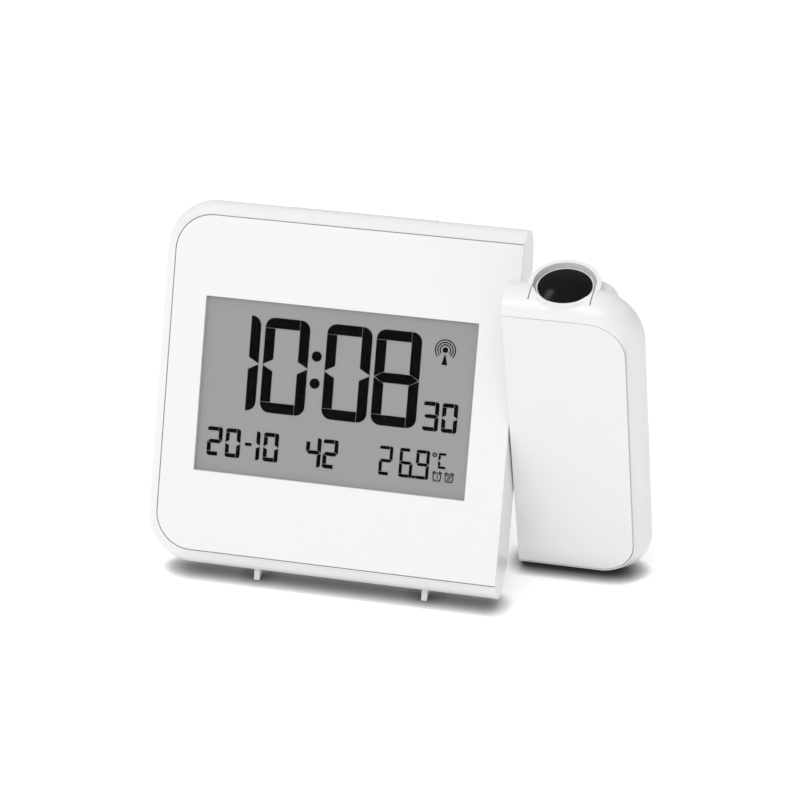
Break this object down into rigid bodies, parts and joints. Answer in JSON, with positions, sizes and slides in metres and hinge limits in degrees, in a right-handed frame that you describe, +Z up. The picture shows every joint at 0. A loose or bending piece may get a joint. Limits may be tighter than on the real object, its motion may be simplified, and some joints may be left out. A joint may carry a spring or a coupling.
{
  "type": "projection alarm clock",
  "caption": "Desk alarm clock with a leaning display slab and a projector arm that swivels beside it and props it up like an open X.",
  "frame": {"origin": "bottom centre of the standing clock's box, on the ground plane", "axes": "+X to the viewer's right along the swivel axis, +Y away from the viewer, +Z up"},
  "size_m": [0.149, 0.0494, 0.1055],
  "materials": {
    "shell_white": "smooth white plastic",
    "plate_silver_white": "satin lacquered aluminium plate, silver-white",
    "window_clear": "thin clear acrylic window",
    "lcd_grey": "grey reflective display",
    "rubber_pink": "striped contact rubber",
    "diffuser_white": "white light guide",
    "lamp_clear": "small lamp",
    "frame_grey": "grey moulded frame",
    "board_green": "green circuit board",
    "chip_black": "black moulded chip",
    "lead_grey": "sheathed lead",
    "can_steel": "bright metal can",
    "ferrite_grey": "dark ferrite",
    "coil_copper": "lacquered copper winding",
    "sounder_brass": "brass disc",
    "screw_steel": "plated steel",
    "bush_natural": "natural nylon",
    "contact_nickel": "nickel plate",
    "cell_sleeve": "plain dark printed foil over a metal can",
    "ballast_steel": "plain zinc-plated steel",
    "lens_clear": "clear lens",
    "slide_dark": "small dark display",
    "lens_dark": "dark tinted lens",
    "ring_grey": "light grey ring",
    "button_white": "smooth button"
  },
  "bodies": {
    "clock": {"front_housing": "shell_white", "front_plate": "plate_silver_white", "display_window": "window_clear", "lcd_glass": "lcd_grey", "contact_strip": "rubber_pink", "backlight_panel": "diffuser_white", "backlight_lamp": "lamp_clear", "display_frame": "frame_grey", "main_board": "board_green", "clock_chip": "chip_black", "quartz_crystal": "can_steel", "antenna_rod": "ferrite_grey", "antenna_coil": "coil_copper", "sounder": "sounder_brass", "temperature_sensor": "chip_black", "rear_housing": "shell_white", "dc_socket": "chip_black", "housing_screws": "screw_steel", "snooze_switch": "chip_black", "key_switches": "chip_black", "hinge_bush": "bush_natural", "hinge_washer": "screw_steel"},
    "snooze": {"snooze_bar": "shell_white"},
    "alarm_button_key": {"alarm_button": "button_white"},
    "set_button_key": {"set_button": "button_white"},
    "plus_button_key": {"plus_button": "button_white"},
    "minus_button_key": {"minus_button": "button_white"},
    "signal_button_key": {"signal_button": "button_white"},
    "projection_button_key": {"projection_button": "button_white"},
    "arm": {"arm_front_housing": "shell_white", "arm_rear_housing": "shell_white", "arm_plate": "plate_silver_white", "arm_screws": "screw_steel", "ballast_bars": "ballast_steel", "hinge_shaft": "bush_natural", "hinge_clip": "screw_steel", "arm_lead": "lead_grey", "contact_plates": "contact_nickel", "contact_springs": "contact_nickel", "lamp_board": "board_green", "projector_lamp": "lamp_clear", "projector_tube": "chip_black", "condenser_lens": "lens_clear", "projection_slide": "slide_dark", "battery_left": "cell_sleeve", "battery_right": "cell_sleeve"},
    "focus": {"focus_ring": "ring_grey"},
    "lens": {"lens_barrel": "chip_black", "projection_lens": "lens_dark"},
    "door": {"battery_door": "shell_white"}
  },
  "joints": [
    {"name": "arm_swivel", "type": "hinge", "parent": "clock", "child": "arm", "pos_m": [0.03467, 0.00177, 0.05208], "axis": [1, 0, 0], "range_deg": [-35.9, 144.1]},
    {"name": "snooze_press", "type": "slide", "parent": "clock", "child": "snooze", "axis": [0, -0.3654, -0.9308], "range_m": [0, 0.0008], "stiffness_N_per_m": 900, "springref_m": -0.0008},
    {"name": "alarm_button_press", "type": "slide", "parent": "clock", "child": "alarm_button_key", "axis": [0, -0.9308, 0.3654], "range_m": [0, 0.0004], "stiffness_N_per_m": 1500, "springref_m": -0.0006},
    {"name": "set_button_press", "type": "slide", "parent": "clock", "child": "set_button_key", "axis": [0, -0.9308, 0.3654], "range_m": [0, 0.0004], "stiffness_N_per_m": 1500, "springref_m": -0.0006},
    {"name": "plus_button_press", "type": "slide", "parent": "clock", "child": "plus_button_key", "axis": [0, -0.9308, 0.3654], "range_m": [0, 0.0004], "stiffness_N_per_m": 1500, "springref_m": -0.0006},
    {"name": "minus_button_press", "type": "slide", "parent": "clock", "child": "minus_button_key", "axis": [0, -0.9308, 0.3654], "range_m": [0, 0.0004], "stiffness_N_per_m": 1500, "springref_m": -0.0006},
    {"name": "signal_button_press", "type": "slide", "parent": "clock", "child": "signal_button_key", "axis": [0, -0.9308, 0.3654], "range_m": [0, 0.0004], "stiffness_N_per_m": 1500, "springref_m": -0.0006},
    {"name": "projection_button_press", "type": "slide", "parent": "clock", "child": "projection_button_key", "axis": [0, -0.9308, 0.3654], "range_m": [0, 0.0004], "stiffness_N_per_m": 1500, "springref_m": -0.0006},
    {"name": "focus_turn", "type": "hinge", "parent": "arm", "child": "focus", "pos_m": [0.05108, -0.00784, 0.09995], "axis": [0, -0.2498, 0.9683], "range_deg": [-60, 60]},
    {"name": "focus_travel", "type": "slide", "parent": "arm", "child": "lens", "axis": [0, -0.2498, 0.9683], "range_m": [-0.00084, 0.00084]},
    {"name": "door_swing", "type": "hinge", "parent": "arm", "child": "door", "pos_m": [0.05078, 0.01684, 0.01409], "axis": [-1, 0, 0], "range_deg": [0, 75]}
  ],
  "couplings": [
    {"joint": "focus_turn", "follows": "focus_travel", "rad_per_m": 1250}
  ]
}
